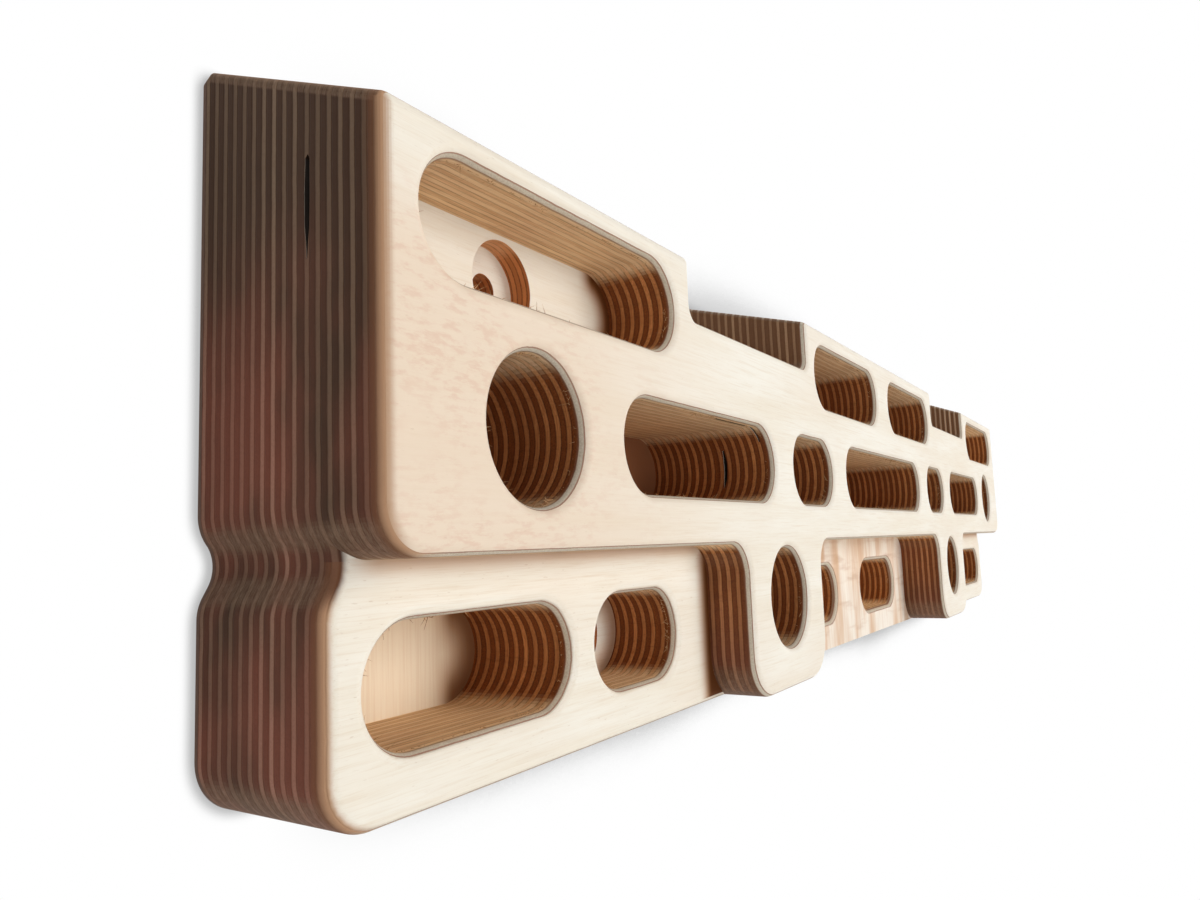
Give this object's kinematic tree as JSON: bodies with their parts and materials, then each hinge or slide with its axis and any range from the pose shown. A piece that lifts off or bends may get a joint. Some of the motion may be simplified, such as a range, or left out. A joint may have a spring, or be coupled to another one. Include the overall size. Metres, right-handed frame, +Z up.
{
  "type": "hangboard",
  "caption": "Climbing hangboard milled from glued birch plywood, with finger slots, round finger holes, raised sloping tops, lower tabs and wall screw holes.",
  "frame": {"origin": "on the flat wall face, midway along the board and 73 mm above its lower edge", "axes": "+X along the board to the right as seen from the front, +Y out of the wall face into the wall, +Z up"},
  "size_m": [0.625, 0.051, 0.1463],
  "materials": {
    "face_veneer": "sanded birch face veneer with fine horizontal grain",
    "front_plies": "milled edges of birch plies, light and dark stripes",
    "rear_plies": "milled edges of birch plies, light and dark stripes"
  },
  "bodies": {
    "root": {"front_sheet_face_veneer": "face_veneer", "front_sheet_ply_pair_1": "front_plies", "front_sheet_ply_pair_2": "front_plies", "front_sheet_ply_pair_3": "front_plies", "front_sheet_ply_pair_4": "front_plies", "front_sheet_ply_pair_5": "front_plies", "front_sheet_ply_pair_6": "front_plies", "front_sheet_ply_pair_7": "front_plies", "rear_sheet_ply_pair_1": "rear_plies", "rear_sheet_ply_pair_2": "rear_plies", "rear_sheet_ply_pair_3": "rear_plies", "rear_sheet_ply_pair_4": "rear_plies", "rear_sheet_ply_pair_5": "rear_plies", "rear_sheet_ply_pair_6": "rear_plies", "rear_sheet_ply_pair_7": "rear_plies", "rear_sheet_ply_pair_8": "rear_plies", "rear_sheet_ply_pair_9": "rear_plies", "rear_sheet_ply_pair_10": "rear_plies", "rear_sheet_back_veneer": "face_veneer"}
  },
  "joints": []
}
